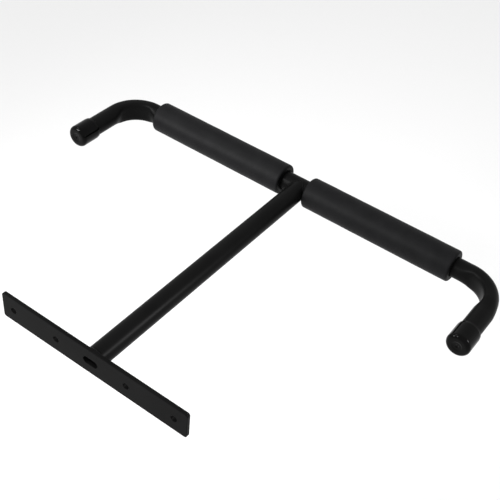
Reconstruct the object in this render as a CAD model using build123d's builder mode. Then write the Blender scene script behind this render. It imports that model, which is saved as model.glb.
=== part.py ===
from build123d import *
from math import sqrt
import os

# Joist-mounted pull-up bar: a flat bar with screw holes, one stem tube welded to its middle, and a
# crossbar tube welded across the stem's far end. Both ends of the crossbar turn back towards the
# plate and wear slip-on vinyl caps, and a foam sleeve covers the crossbar on each side of the stem.
#
# Millimetres. The origin is the centre of the plate's mounting face. +X runs along the crossbar,
# +Y runs along the stem, away from the face, and +Z is up when the bar lies flat.

# Steel tube, the same for the stem and the crossbar
tube_diameter = 32.0
tube_wall = 2.0

# Frame
reach = 488.0  # mounting face to the crossbar's axis
arm_spacing = 717.0  # between the axes of the two turned-back ends
arm_length = 144.0  # crossbar's axis to the closed end of a cap
bend_radius = 52.0  # of the tube's axis

# Mounting plate
plate_length = 324.0
plate_height = 44.0
plate_thickness = 6.0
plate_corner_radius = 4.0
plate_edge_radius = 0.8
hole_edge_radius = 0.5  # the coat rounds the rims of the holes and the slot
screw_hole_diameter = 10.0
outer_hole_spacing = 282.0
inner_hole_spacing = 123.0
drain_slot_length = 25.0
drain_slot_height = 12.0

# Weld beads
plate_weld_leg = 4.0
plate_weld_crown = 0.4  # rise of the bead's face over a straight line from toe to toe
saddle_bead_radius = 2.0
saddle_bead_sink = 0.8  # how far the bead's centre lies under the top of the tubes
cope_gap = 0.02  # between the stem's coped end and the crossbar

# Foam grips
grip_diameter = 52.0
grip_length = 265.0
grip_edge_radius = 4.0
grip_mouth_chamfer = 2.8  # clears the weld bead beside the stem
sleeve_gap = 0.05  # all round the tube, under a grip or a cap
left_grip_from_stem = 30.0  # the stem's axis to the near end of the grip
right_grip_from_stem = 16.3  # this grip is pushed up against the stem

# End caps
cap_diameter = 37.5
cap_length = 38.0
cap_end_wall = 2.5
cap_rim_radius = 3.5
cap_lip_height = 1.2  # of the cap's open edge, where its wall tapers down to the tube
cap_taper_length = 4.0
cap_dimple_diameter = 5.0
cap_dimple_depth = 1.2

# Derived sizes and places
tube_radius = tube_diameter / 2
bore_radius = tube_radius - tube_wall
sleeve_bore_radius = tube_radius + sleeve_gap
grip_radius = grip_diameter / 2
grip_wall = grip_radius - sleeve_bore_radius
cap_radius = cap_diameter / 2
arm_x = arm_spacing / 2
cap_end_y = reach - arm_length
tube_end_y = cap_end_y + cap_end_wall
cap_mouth_y = cap_end_y + cap_length
hole_spacings = (outer_hole_spacing, inner_hole_spacing)
screw_hole_x = [side * spacing / 2 for spacing in hole_spacings for side in (-1, 1)]
crossbar_axis = Axis((0, reach, 0), (1, 0, 0))


def plane_facing_plate(y):
    """A sketch plane across the stem at distance y from the mounting face, X to the right, Z up."""
    return Plane.XZ.offset(-y)


def cut_away_crossbar(radius):
    """Cut a cylinder on the crossbar's axis out of the part being built."""
    with Locations((0, reach, 0)):
        Cylinder(radius, 2 * tube_diameter, rotation=(0, 90, 0), mode=Mode.SUBTRACT)


def save(part, name):
    """Label a finished piece and write its STEP file."""
    part.label = name
    export_step(part, f"parts/{name}.step")


def make_foam_grip(name, near_x, side):
    """A foam sleeve on the crossbar, from near_x outwards on the given side of the stem."""
    with BuildPart() as foam_grip:
        with BuildSketch(Plane.XY) as wall_section:
            with Locations((side * (near_x + grip_length / 2), reach + sleeve_bore_radius + grip_wall / 2)):
                Rectangle(grip_length, grip_wall)
            fillet(wall_section.vertices().group_by(Axis.Y)[-1], radius=grip_edge_radius)
            chamfer(wall_section.vertices().group_by(Axis.Y)[0], length=grip_mouth_chamfer)
        revolve(axis=crossbar_axis)
    save(foam_grip.part, name)


def make_end_cap(name, side):
    """A slip-on vinyl cap: a cup with a rounded rim, a tapered mouth and a moulding dimple."""
    axis_x = side * arm_x
    with BuildPart() as end_cap:
        with BuildSketch(Plane.XY) as wall_section:
            with BuildLine():
                Polyline(
                    (axis_x, cap_end_y + cap_dimple_depth),
                    (axis_x + cap_dimple_diameter / 4, cap_end_y + cap_dimple_depth),
                    (axis_x + cap_dimple_diameter / 2, cap_end_y),
                    (axis_x + cap_radius, cap_end_y),
                    (axis_x + cap_radius, cap_mouth_y - cap_taper_length),
                    (axis_x + tube_radius + cap_lip_height, cap_mouth_y),
                    (axis_x + sleeve_bore_radius, cap_mouth_y),
                    (axis_x + sleeve_bore_radius, tube_end_y),
                    (axis_x, tube_end_y),
                    close=True,
                )
            make_face()
            rim = wall_section.vertices().group_by(Axis.Y)[0].sort_by(Axis.X)[-1]
            fillet(rim, radius=cap_rim_radius)
        revolve(axis=Axis((axis_x, 0, 0), (0, 1, 0)))
    save(end_cap.part, name)


os.makedirs("parts", exist_ok=True)

# Mounting plate: a flat bar with four screw holes, and a slot into the stem's bore at its centre
with BuildPart() as mounting_plate:
    with BuildSketch(plane_facing_plate(0)):
        RectangleRounded(plate_length, plate_height, plate_corner_radius)
        with Locations(*[(x, 0) for x in screw_hole_x]):
            Circle(screw_hole_diameter / 2, mode=Mode.SUBTRACT)
        SlotOverall(drain_slot_length, drain_slot_height, mode=Mode.SUBTRACT)
    extrude(amount=-plate_thickness)
    broad_faces = mounting_plate.faces().sort_by(Axis.Y)
    outer_edges = broad_faces[0].outer_wire().edges() + broad_faces[-1].outer_wire().edges()
    hole_rims = [wire.edges() for wire in broad_faces[0].inner_wires()]
    hole_rims += [wire.edges() for wire in broad_faces[-1].inner_wires()]
    fillet(outer_edges, radius=plate_edge_radius)
    fillet([edge for rim in hole_rims for edge in rim], radius=hole_edge_radius)
save(mounting_plate.part, "mounting_plate")

# Stem: a straight tube, square at the plate and coped to fit round the crossbar
with BuildPart() as stem_tube:
    with BuildSketch(plane_facing_plate(plate_thickness)):
        Circle(tube_radius)
        Circle(bore_radius, mode=Mode.SUBTRACT)
    extrude(amount=plate_thickness - reach)
    cut_away_crossbar(tube_radius + cope_gap)
save(stem_tube.part, "stem_tube")

# Crossbar: one tube, bent through a right angle at each end
with BuildPart() as crossbar_tube:
    with BuildLine(Plane.XY) as tube_axis:
        FilletPolyline(
            (-arm_x, tube_end_y),
            (-arm_x, reach),
            (arm_x, reach),
            (arm_x, tube_end_y),
            radius=bend_radius,
        )
    with BuildSketch(plane_facing_plate(tube_end_y)):
        with Locations((-arm_x, 0)):
            Circle(tube_radius)
            Circle(bore_radius, mode=Mode.SUBTRACT)
    sweep(path=tube_axis.line)
save(crossbar_tube.part, "crossbar_tube")

# Plate weld: a fillet bead round the stem, where it stands on the plate
with BuildPart() as plate_weld:
    with BuildSketch(Plane.XY):
        with BuildLine():
            root = (tube_radius, plate_thickness)
            plate_toe = (tube_radius + plate_weld_leg, plate_thickness)
            stem_toe = (tube_radius, plate_thickness + plate_weld_leg)
            Line(stem_toe, root)
            Line(root, plate_toe)
            SagittaArc(plate_toe, stem_toe, -plate_weld_crown)
        make_face()
    revolve(axis=Axis.Y)
save(plate_weld.part, "plate_weld")

# Crossbar weld: a round bead along the saddle where two tubes of one diameter meet. Each half of
# the saddle is half an ellipse in a plane at 45 degrees to both tubes.
with BuildPart() as crossbar_weld:
    crown_height = tube_radius - saddle_bead_sink
    for side in (-1, 1):
        saddle_plane = Plane(origin=(0, reach, 0), x_dir=(side, -1, 0), z_dir=(1, side, 0))
        with BuildLine(saddle_plane) as seam:
            EllipticalCenterArc((0, 0), tube_radius * sqrt(2), crown_height, -90, arc_size=180)
        with BuildSketch(Plane(origin=seam.line @ 0, z_dir=seam.line % 0)):
            Circle(saddle_bead_radius)
        sweep(path=seam.line)
    with Locations((0, reach, crown_height), (0, reach, -crown_height)):
        Sphere(saddle_bead_radius)
    cut_away_crossbar(tube_radius)
    with Locations((0, reach - tube_diameter / 2, 0)):
        Cylinder(tube_radius, tube_diameter, rotation=(90, 0, 0), mode=Mode.SUBTRACT)
save(crossbar_weld.part, "crossbar_weld")

make_foam_grip("left_foam_grip", left_grip_from_stem, -1)
make_foam_grip("right_foam_grip", right_grip_from_stem, 1)
make_end_cap("left_end_cap", -1)
make_end_cap("right_end_cap", 1)
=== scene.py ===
"""Pull-up bar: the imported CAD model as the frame, with finished surfaces, foam grips, caps and welds."""

import math

import bmesh
import bpy
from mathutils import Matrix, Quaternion, Vector, noise


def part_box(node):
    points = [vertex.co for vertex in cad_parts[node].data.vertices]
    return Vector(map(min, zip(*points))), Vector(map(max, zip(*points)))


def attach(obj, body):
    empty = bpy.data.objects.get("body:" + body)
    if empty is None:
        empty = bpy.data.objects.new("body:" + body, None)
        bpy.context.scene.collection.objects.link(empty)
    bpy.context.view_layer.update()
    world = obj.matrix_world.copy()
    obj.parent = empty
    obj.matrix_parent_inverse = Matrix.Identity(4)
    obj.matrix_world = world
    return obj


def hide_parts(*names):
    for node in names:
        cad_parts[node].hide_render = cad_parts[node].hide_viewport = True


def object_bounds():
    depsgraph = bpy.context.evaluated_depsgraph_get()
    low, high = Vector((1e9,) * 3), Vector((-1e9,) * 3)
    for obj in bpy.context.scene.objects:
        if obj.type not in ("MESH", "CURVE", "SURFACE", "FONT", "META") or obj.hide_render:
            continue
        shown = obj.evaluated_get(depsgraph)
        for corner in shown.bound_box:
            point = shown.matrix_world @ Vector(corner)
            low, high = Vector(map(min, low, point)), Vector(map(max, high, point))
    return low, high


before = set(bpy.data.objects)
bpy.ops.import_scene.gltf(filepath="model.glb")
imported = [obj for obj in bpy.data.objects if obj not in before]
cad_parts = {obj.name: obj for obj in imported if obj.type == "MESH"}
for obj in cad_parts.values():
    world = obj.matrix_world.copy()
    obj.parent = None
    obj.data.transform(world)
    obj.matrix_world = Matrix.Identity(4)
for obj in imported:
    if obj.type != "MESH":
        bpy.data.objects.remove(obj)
cad_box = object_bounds()

MM = 0.001
BODY = "root"
TAU = 2 * math.pi


# ---------------------------------------------------------------- camera, light and floor

CAMERA_AZIMUTH = 32.32  # degrees round from the mounting face, towards +X
CAMERA_ELEVATION = 42.11
CAMERA_ROLL = 6.23
CAMERA_DISTANCE = 1413.1 * MM
CAMERA_LENS = 68.18  # millimetres, on a sensor 36 mm wide
AIM_FROM_CENTRE = Vector((27.2, 55.8, 0.0)) * MM


def direction(azimuth, elevation):
    """Unit vector towards a place round the bar: azimuth 0 is in front of the mounting face, 90 is +X."""
    around, up = math.radians(azimuth), math.radians(elevation)
    return Vector((math.sin(around) * math.cos(up), -math.cos(around) * math.cos(up), math.sin(up)))


def set_camera():
    """A long lens, turned a little about its own axis."""
    data = bpy.data.cameras.new("camera")
    data.sensor_width = 36.0
    data.lens = CAMERA_LENS
    data.clip_start, data.clip_end = 0.01, 100.0
    camera = bpy.data.objects.new("camera", data)
    bpy.context.scene.collection.objects.link(camera)
    back = direction(CAMERA_AZIMUTH, CAMERA_ELEVATION)
    aim = (cad_box[0] + cad_box[1]) / 2 + AIM_FROM_CENTRE
    camera.location = aim + back * CAMERA_DISTANCE
    camera.rotation_mode = "QUATERNION"
    roll = Quaternion((0, 0, 1), math.radians(CAMERA_ROLL))
    camera.rotation_quaternion = (-back).to_track_quat("-Z", "Y") @ roll
    bpy.context.scene.camera = camera


set_camera()


def linear(hex_colour):
    """An sRGB hex colour as linear RGBA."""
    parts = [int(hex_colour[i : i + 2], 16) / 255 for i in (1, 3, 5)]
    return tuple(c / 12.92 if c <= 0.04045 else ((c + 0.055) / 1.055) ** 2.4 for c in parts) + (1.0,)


def softbox(name, azimuth, elevation, distance, size, radiance, aim, spread):
    """A studio light, placed round the middle of the bar, with a grid that narrows it to spread degrees."""
    data = bpy.data.lights.new(name, "AREA")
    data.shape = "RECTANGLE"
    data.size, data.size_y = size
    half_spread = math.radians(spread) / 2
    data.spread = 2 * half_spread
    data.energy = radiance * math.pi * size[0] * size[1] * (1 - half_spread / math.tan(half_spread))
    light = bpy.data.objects.new(name, data)
    bpy.context.scene.collection.objects.link(light)
    light.location = (cad_box[0] + cad_box[1]) / 2 + direction(azimuth, elevation) * distance
    light.rotation_euler = (aim - light.location).to_track_quat("-Z", "Y").to_euler()


def middle(node):
    """The centre of a CAD node's box."""
    low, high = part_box(node)
    return (low + high) / 2


# Azimuth and elevation, metres away, width and height in metres, radiance, aim and spread
softbox("low_left_softbox", -45, 20, 1.23, (0.30, 0.28), 46.0, middle("left_foam_grip"), 80)
softbox("high_left_softbox", -82, 52, 1.8, (0.5, 0.5), 7.0, middle("left_foam_grip"), 80)
softbox("high_front_softbox", -27, 40, 2.2, (0.38, 0.38), 46.0, middle("crossbar_tube"), 120)
softbox("back_right_softbox", 110, 24, 0.92, (0.20, 0.26), 46.0, middle("plate_weld"), 44)

world = bpy.data.worlds.new("studio")
world.use_nodes = True
surroundings = world.node_tree.nodes["Background"].inputs
surroundings["Color"].default_value = linear("#FFFFFF")
surroundings["Strength"].default_value = 0.84
bpy.context.scene.world = world
bpy.context.scene.view_settings.view_transform = "Standard"


# ---------------------------------------------------------------- materials


def new_material(name):
    """A named node material, with its tree and its main shader."""
    material = bpy.data.materials.new(name)
    material.use_nodes = True
    return material, material.node_tree, material.node_tree.nodes["Principled BSDF"]


def add(tree, kind, inputs=None, **settings):
    """Add a node, set its own settings, and set or link each named input."""
    made = tree.nodes.new(kind)
    for name, value in settings.items():
        setattr(made, name, value)
    feed(tree, made, inputs or {})
    return made


def feed(tree, target, inputs):
    """Link each named input of a node to a socket, or set its value."""
    for name, value in inputs.items():
        if isinstance(value, bpy.types.NodeSocket):
            tree.links.new(value, target.inputs[name])
        else:
            target.inputs[name].default_value = value


def every(size_mm):
    """The scale at which a pattern in object coordinates, which are metres, has features size_mm apart."""
    return 1000 / size_mm


LOW_NOISE, HIGH_NOISE = 0.3, 0.7  # most of a noise lies between these


def powder_coat(name, smooth, rough, specular, dark_hex, light_hex):
    """Black polyester powder, sprayed on steel and baked: soft streaks of light, faint orange peel."""
    material, tree, shader = new_material(name)
    place = add(tree, "ShaderNodeTexCoord").outputs["Object"]
    # Orange peel is about 1.5 mm across; it is drawn at 4 mm, or it would be finer than the render shows
    peel = add(tree, "ShaderNodeTexNoise", {"Vector": place, "Scale": every(4.0), "Detail": 2.0})
    # Baked powder grit is about 0.1 mm; it is drawn at 1 mm for the same reason
    grit = add(tree, "ShaderNodeTexNoise", {"Vector": place, "Scale": every(1.0), "Detail": 3.0})
    # Its gloss and tone drift a little with its thickness, in patches about 55 mm across
    cloud = add(tree, "ShaderNodeTexNoise", {"Vector": place, "Scale": every(55), "Detail": 4.0})
    # Specks of dust caught under the coat, about a millimetre across and a few centimetres apart
    dust = add(tree, "ShaderNodeTexVoronoi", {"Vector": place, "Scale": every(16)})
    speck = add(
        tree,
        "ShaderNodeMapRange",
        {
            "Value": dust.outputs["Distance"],
            "From Min": 0.02,
            "From Max": 0.05,
            "To Min": 1.0,
            "To Max": 0.0,
        },
    )
    # They stand on top of the peel, a little over half as high as it is deep
    height = add(
        tree,
        "ShaderNodeMath",
        {0: speck.outputs["Result"], 1: 0.6, 2: peel.outputs["Fac"]},
        operation="MULTIPLY_ADD",
    )
    low = add(
        tree,
        "ShaderNodeBump",
        {"Height": height.outputs["Value"], "Strength": 0.5, "Distance": 0.05 * MM},
    )
    fine = add(
        tree,
        "ShaderNodeBump",
        {
            "Height": grit.outputs["Fac"],
            "Strength": 0.5,
            "Distance": 0.02 * MM,
            "Normal": low.outputs["Normal"],
        },
    )
    gloss = add(
        tree,
        "ShaderNodeMapRange",
        {"Value": cloud.outputs["Fac"], "To Min": smooth, "To Max": rough},
    )
    tone = add(
        tree,
        "ShaderNodeMapRange",
        {"Value": cloud.outputs["Fac"], "From Min": LOW_NOISE, "From Max": HIGH_NOISE},
    )
    colour = add(
        tree,
        "ShaderNodeMixRGB",
        {"Fac": tone.outputs["Result"], "Color1": linear(dark_hex), "Color2": linear(light_hex)},
    )
    feed(
        tree,
        shader,
        {
            "Base Color": colour.outputs["Color"],
            "Roughness": gloss.outputs["Result"],
            "Normal": fine.outputs["Normal"],
            "IOR": 1.5,
            "Specular IOR Level": specular,
        },
    )
    return material


def nitrile_foam():
    """Closed-cell nitrile rubber foam, extruded as a sleeve: matt, a touch lighter, finely grained."""
    material, tree, shader = new_material("closed_cell_nitrile_foam")
    place = add(tree, "ShaderNodeTexCoord").outputs["Object"]
    # Cells are about 0.3 mm; they are drawn at 1.6 mm so that the grain shows
    cells = add(tree, "ShaderNodeTexVoronoi", {"Vector": place, "Scale": every(1.6)})
    # The skin that forms in the die is drier and prouder in spots of 7 mm, and paler in patches of 24 mm
    crust = add(tree, "ShaderNodeTexNoise", {"Vector": place, "Scale": every(7), "Detail": 3.0})
    mottle = add(tree, "ShaderNodeTexNoise", {"Vector": place, "Scale": every(24), "Detail": 5.0})
    dry = add(tree, "ShaderNodeMapRange", {"Value": crust.outputs["Fac"], "To Min": 0.46, "To Max": 0.56})
    soft = add(
        tree,
        "ShaderNodeBump",
        {"Height": crust.outputs["Fac"], "Strength": 0.4, "Distance": 0.15 * MM},
    )
    grain = add(
        tree,
        "ShaderNodeBump",
        {
            "Height": cells.outputs["Distance"],
            "Strength": 0.5,
            "Distance": 0.12 * MM,
            "Normal": soft.outputs["Normal"],
        },
    )
    tone = add(
        tree,
        "ShaderNodeMapRange",
        {"Value": mottle.outputs["Fac"], "From Min": LOW_NOISE, "From Max": HIGH_NOISE},
    )
    outside = add(
        tree,
        "ShaderNodeMixRGB",
        {"Fac": tone.outputs["Result"], "Color1": linear("#131314"), "Color2": linear("#181819")},
    )
    # The sleeve is cut to length; its ends, the faces that look along the bar, are painted near black as
    # painted shade
    facing = add(tree, "ShaderNodeNewGeometry").outputs["Normal"]
    along = add(tree, "ShaderNodeSeparateXYZ", {"Vector": facing}).outputs["X"]
    endwise = add(tree, "ShaderNodeMath", {0: along}, operation="ABSOLUTE").outputs["Value"]
    painted_end_shade = add(tree, "ShaderNodeMapRange", {"Value": endwise, "From Min": 0.45, "From Max": 0.85})
    colour = add(
        tree,
        "ShaderNodeMixRGB",
        {"Fac": painted_end_shade.outputs["Result"], "Color1": outside.outputs["Color"], "Color2": linear("#060606")},
    )
    feed(
        tree,
        shader,
        {
            "Base Color": colour.outputs["Color"],
            "Roughness": dry.outputs["Result"],
            "Normal": grain.outputs["Normal"],
            "IOR": 1.5,
            "Specular IOR Level": 0.07,
        },
    )
    return material


def dipped_vinyl():
    """Plasticised PVC, dip-moulded: black and glossy, with small sharp highlights and a slow ripple."""
    material, tree, shader = new_material("glossy_black_vinyl")
    place = add(tree, "ShaderNodeTexCoord").outputs["Object"]
    # The wet vinyl sags in ripples of 9 mm as it sets, and handling dulls it in patches of 20 mm
    ripple = add(tree, "ShaderNodeTexNoise", {"Vector": place, "Scale": every(9), "Detail": 1.0})
    cloud = add(tree, "ShaderNodeTexNoise", {"Vector": place, "Scale": every(20), "Detail": 3.0})
    low = add(
        tree,
        "ShaderNodeBump",
        {"Height": ripple.outputs["Fac"], "Strength": 0.3, "Distance": 0.1 * MM},
    )
    wiped = add(tree, "ShaderNodeMapRange", {"Value": cloud.outputs["Fac"], "To Min": 0.05, "To Max": 0.10})
    tone = add(
        tree,
        "ShaderNodeMapRange",
        {"Value": cloud.outputs["Fac"], "From Min": LOW_NOISE, "From Max": HIGH_NOISE},
    )
    colour = add(
        tree,
        "ShaderNodeMixRGB",
        {"Fac": tone.outputs["Result"], "Color1": linear("#020202"), "Color2": linear("#050505")},
    )
    feed(
        tree,
        shader,
        {
            "Base Color": colour.outputs["Color"],
            "Roughness": wiped.outputs["Result"],
            "Normal": low.outputs["Normal"],
            "IOR": 1.53,
            "Specular IOR Level": 0.075,
        },
    )
    return material


def pale_floor():
    """Matt white board, plain, so that nothing on it competes with the bar."""
    material, tree, shader = new_material("pale_studio_floor")
    feed(tree, shader, {"Base Color": linear("#FAFAFA"), "Roughness": 0.9, "Specular IOR Level": 0.1})
    return material


coat = powder_coat("satin_black_powder_coat", 0.31, 0.40, 0.04, "#0C0C0C", "#101010")
# Hot-rolled flat bar is rougher than drawn tube, so the same powder bakes duller on it
dull_coat = powder_coat("dull_black_powder_coat", 0.36, 0.48, 0.025, "#0B0B0B", "#121212")
foam, vinyl = nitrile_foam(), dipped_vinyl()


FLOOR_BELOW = 450 * MM  # the bar is held clear of the floor, so its shadows are faint
FLOOR_WIDTH = 40.0  # metres, so that its far edge is near the horizon


def lay_floor():
    """A wide level floor under the bar."""
    bpy.ops.mesh.primitive_plane_add(size=FLOOR_WIDTH, location=(0, 0, cad_box[0].z - FLOOR_BELOW))
    floor = bpy.context.object
    floor.name = "floor"
    floor.data.materials.append(pale_floor())


lay_floor()


# ---------------------------------------------------------------- sizes

# Read off the frame's boxes
stem_box, grip_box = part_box("stem_tube"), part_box("left_foam_grip")
TUBE = (stem_box[1].x - stem_box[0].x) / 2  # the radius of both tubes
BAR_Y = (grip_box[0].y + grip_box[1].y) / 2  # the crossbar's axis
PLATE_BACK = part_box("mounting_plate")[1].y

# The same as in the CAD, where a box doesn't show them
TUBE_WALL = 2.0 * MM
BEND_RADIUS = 52.0 * MM  # of the crossbar's axis
SLEEVE_GAP = 0.05 * MM  # all round the tube, under a grip or a cap
CAP_END_WALL = 2.5 * MM

BORE = TUBE - TUBE_WALL
SLEEVE_BORE = TUBE + SLEEVE_GAP

# How finely the pieces are drawn
GRIP_SIDES, CAP_SIDES, TUBE_SIDES, BEAD_SIDES = 112, 96, 72, 20  # points round each
MERGE_WITHIN = 0.002 * MM  # points nearer than this are one


# ---------------------------------------------------------------- pieces


def skin(name, rings, joined, material):
    """A smooth mesh over closed rings of points. With joined, the last ring is tied to the first."""
    mesh = bmesh.new()
    rows = [[mesh.verts.new(point) for point in ring] for ring in rings]
    pairs = list(zip(rows, rows[1:]))
    if joined:
        pairs.append((rows[-1], rows[0]))
    for one, two in pairs:
        for k in range(len(one)):
            n = (k + 1) % len(one)
            mesh.faces.new((one[k], one[n], two[n], two[k]))
    bmesh.ops.remove_doubles(mesh, verts=mesh.verts, dist=MERGE_WITHIN)
    bmesh.ops.recalc_face_normals(mesh, faces=mesh.faces)
    for face in mesh.faces:
        face.smooth = True
    data = bpy.data.meshes.new(name)
    mesh.to_mesh(data)
    mesh.free()
    data.materials.append(material)
    piece = bpy.data.objects.new(name, data)
    bpy.context.scene.collection.objects.link(piece)
    return piece


def stand_in(piece, node):
    """The piece rides on the bar in place of one CAD node."""
    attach(piece, BODY)
    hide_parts(node)


def whole_turn(steps):
    """The angles of so many points round a full circle."""
    return [TAU * k / steps for k in range(steps)]


def quarter(centre, radius, start, steps=6):
    """Points of a quarter circle of a profile, anticlockwise from start degrees."""
    turns = [math.radians(start + 90 * k / steps) for k in range(steps + 1)]
    return [(centre[0] + radius * math.cos(a), centre[1] + radius * math.sin(a)) for a in turns]


def even(start, end, steps):
    """The points between two profile points, without the two ends."""
    return [
        (start[0] + (end[0] - start[0]) * k / steps, start[1] + (end[1] - start[1]) * k / steps)
        for k in range(1, steps)
    ]


def foam_grip(name, node):
    """An extruded sleeve, cut to length: rounded ends, an eased mouth and a slightly uneven skin."""
    low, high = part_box(node)
    length, radius = high.x - low.x, (high.z - low.z) / 2
    rounding, mouth, unevenness = 4.0 * MM, 2.6 * MM, 0.22 * MM
    long_swell, short_swell, long_share = 26 * MM, 8 * MM, 0.7
    fade_depth = 6 * MM  # above the bore, which stays true
    outer = radius - unevenness
    profile = quarter((rounding, outer - rounding), rounding, 90)[::-1]
    profile += even((rounding, outer), (length - rounding, outer), 150)
    profile += quarter((length - rounding, outer - rounding), rounding, 0)[::-1]
    profile += quarter((length - mouth, SLEEVE_BORE + mouth), mouth, 270)[::-1]
    profile += quarter((mouth, SLEEVE_BORE + mouth), mouth, 180)[::-1]
    rings = []
    for along, out in profile:
        ring = []
        depth = min(1.0, (out - SLEEVE_BORE) / fade_depth)
        for turn in whole_turn(GRIP_SIDES):
            spot = Vector((low.x + along, out * math.cos(turn), out * math.sin(turn)))
            swell = noise.noise(spot / long_swell) * long_share
            swell += noise.noise(spot / short_swell) * (1 - long_share)
            reach = out + unevenness * swell * depth
            ring.append((spot.x, BAR_Y + reach * math.cos(turn), reach * math.sin(turn)))
        rings.append(ring)
    piece = skin(name, rings, True, foam)
    stand_in(piece, node)


foam_grip("left_grip_sleeve", "left_foam_grip")
foam_grip("right_grip_sleeve", "right_foam_grip")


def settle(k, steps):
    """1 down to 0 in so many steps, with a soft start and end."""
    return 0.5 + 0.5 * math.cos(math.pi * k / steps)


def end_cap(name, node):
    """A dip-moulded cup: a dished end with the mould pin's dimple, a round rim and a soft open edge."""
    low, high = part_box(node)
    axis_x, radius, length = (low.x + high.x) / 2, (high.x - low.x) / 2, high.y - low.y
    dimple, dimple_depth = 3.6 * MM, 1.7 * MM
    dish, dish_edge, dish_depth = 6.5 * MM, 2.0 * MM, 0.5 * MM
    rim, neck, lip, lip_edge, bore_chamfer = 6.0 * MM, 5.0 * MM, 2.2 * MM, 0.8 * MM, 0.2 * MM
    profile = []
    for k in range(13):
        profile.append((dish_depth + (dimple_depth - dish_depth) * settle(k, 12), dimple * k / 12))
    for k in range(1, 9):
        profile.append((dish_depth * settle(k, 8), dish + dish_edge * k / 8))
    profile += even((0, dish + dish_edge), (0, radius - rim), 4)
    profile += quarter((rim, radius - rim), rim, 90, 12)[::-1]
    profile += even((rim, radius), (length - neck, radius), 12)
    for k in range(13):
        along = length - neck + (neck - lip_edge) * k / 12
        profile.append((along, radius - (radius - TUBE - lip) * (1 - settle(k, 12))))
    profile += quarter((length - lip_edge, TUBE + lip - lip_edge), lip_edge, 0)[::-1]
    profile += [(length, SLEEVE_BORE + bore_chamfer), (length - bore_chamfer, SLEEVE_BORE)]
    profile += even((length, SLEEVE_BORE), (CAP_END_WALL, SLEEVE_BORE), 8)
    profile += [(CAP_END_WALL, out) for out in (SLEEVE_BORE, SLEEVE_BORE / 2, 0)]
    rings = []
    for along, out in profile:
        turns = whole_turn(CAP_SIDES)
        rings.append([(axis_x + out * math.cos(a), low.y + along, out * math.sin(a)) for a in turns])
    stand_in(skin(name, rings, False, vinyl), node)


end_cap("left_vinyl_cap", "left_end_cap")
end_cap("right_vinyl_cap", "right_end_cap")


def ease(value):
    """0 to 1, with a soft start and end."""
    value = min(1.0, max(0.0, value))
    return value * value * (3 - 2 * value)


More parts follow.
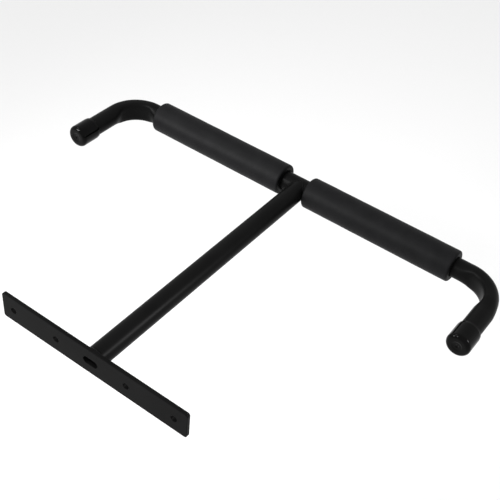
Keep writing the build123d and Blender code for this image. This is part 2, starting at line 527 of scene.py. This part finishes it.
def crossbar():
    """One tube, pressed to a bend at each end, where it is narrower in the bend's plane and taller."""
    left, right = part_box("left_end_cap"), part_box("right_end_cap")
    arm_x = (right[0].x + right[1].x) / 2
    tube_end = left[0].y + CAP_END_WALL
    arm = BAR_Y - BEND_RADIUS - tube_end
    bar = 2 * (arm_x - BEND_RADIUS)
    arc = BEND_RADIUS * math.pi / 2
    total = 2 * arm + 2 * arc + bar
    flat, tall, blend = 0.83, 1.13, 24 * MM  # width and height of a bend, against the straights
    flattened, dented = 0.55, 0.12  # how far its inner side is from round, and from even
    ring_spacing = 3 * MM

    def place(s):
        """Centre and heading of the tube at distance s from its left end."""
        if s > total / 2:
            centre, heading = place(total - s)
            return Vector((-centre.x, centre.y, 0)), Vector((heading.x, -heading.y, 0))
        if s <= arm:
            return Vector((-arm_x, tube_end + s, 0)), Vector((0, 1, 0))
        if s <= arm + arc:
            turn = (s - arm) / BEND_RADIUS
            heart = Vector((-arm_x + BEND_RADIUS, BAR_Y - BEND_RADIUS, 0))
            out = Vector((-math.cos(turn), math.sin(turn), 0))
            return heart + out * BEND_RADIUS, Vector((math.sin(turn), math.cos(turn), 0))
        return Vector((-arm_x + BEND_RADIUS + s - arm - arc, BAR_Y, 0)), Vector((1, 0, 0))

    def ring(s, radius):
        """The tube's outline there: round on the straights, pressed oval in the bends."""
        centre, heading = place(s)
        near_end = min(s, total - s)
        bent = ease((near_end - arm) / blend + 0.5) * ease((arm + arc - near_end) / blend + 0.5)
        across = Vector((heading.y, -heading.x, 0))
        wide = radius - TUBE * (1 - flat) * bent
        high = radius + TUBE * (tall - 1) * bent
        points = []
        for turn in whole_turn(TUBE_SIDES):
            inwards = math.cos(turn)
            if inwards > 0:  # the inner side, which the die flattens and dents
                inwards = inwards ** (1 - flattened * bent) - dented * bent * inwards ** 4
            points.append(centre + across * wide * inwards + Vector((0, 0, high * math.sin(turn))))
        return points

    steps = round(total / ring_spacing)
    stations = [total * k / steps for k in range(steps + 1)]
    rings = [ring(s, TUBE) for s in stations] + [ring(s, BORE) for s in reversed(stations)]
    stand_in(skin("bent_crossbar", rings, True, coat), "crossbar_tube")


crossbar()


def bead(name, node, path, radius, ripples):
    """A closed weld bead along path(turn): each ripple is a puddle that froze behind the torch."""
    rings_per_ripple = 8
    ripple_fall, wander, wander_size = 0.09, 0.03, 5 * MM  # shares of the bead's radius, and a length
    steps = ripples * rings_per_ripple
    rings = []
    for k in range(steps):
        turn = TAU * k / steps
        here, ahead, behind = path(turn), path(turn + TAU / steps), path(turn - TAU / steps)
        heading = (ahead - behind).normalized()
        side = heading.cross(here - Vector((0, here.y, 0))).normalized()
        up = side.cross(heading)
        phase = (k % rings_per_ripple) / rings_per_ripple
        swell = 1 - ripple_fall * phase + wander * noise.noise(here / wander_size)
        turns = whole_turn(BEAD_SIDES)
        rings.append([here + (side * math.cos(a) + up * math.sin(a)) * radius * swell for a in turns])
    stand_in(skin(name, rings, True, coat), node)


def plate_seam(turn):
    """Round the stem, in the corner that it makes with the plate."""
    off_corner = 1.4 * MM
    out = TUBE + off_corner
    return Vector((out * math.cos(turn), PLATE_BACK + off_corner, out * math.sin(turn)))


def saddle_seam(turn):
    """Where two tubes of one diameter meet, eased at the top and bottom, where the line has a corner."""
    corner_ease, sunk = 0.12, 0.9 * MM
    across = math.sqrt(math.cos(turn) ** 2 + corner_ease**2)
    return Vector((TUBE * math.cos(turn), BAR_Y - TUBE * across, (TUBE - sunk) * math.sin(turn)))


# The last two are the bead's radius and how many ripples go round
bead("plate_weld_bead", "plate_weld", plate_seam, 2.4 * MM, 44)
bead("crossbar_weld_bead", "crossbar_weld", saddle_seam, 1.9 * MM, 46)

for name, finish in (("mounting_plate", dull_coat), ("stem_tube", coat)):
    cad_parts[name].data.materials.clear()
    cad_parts[name].data.materials.append(finish)
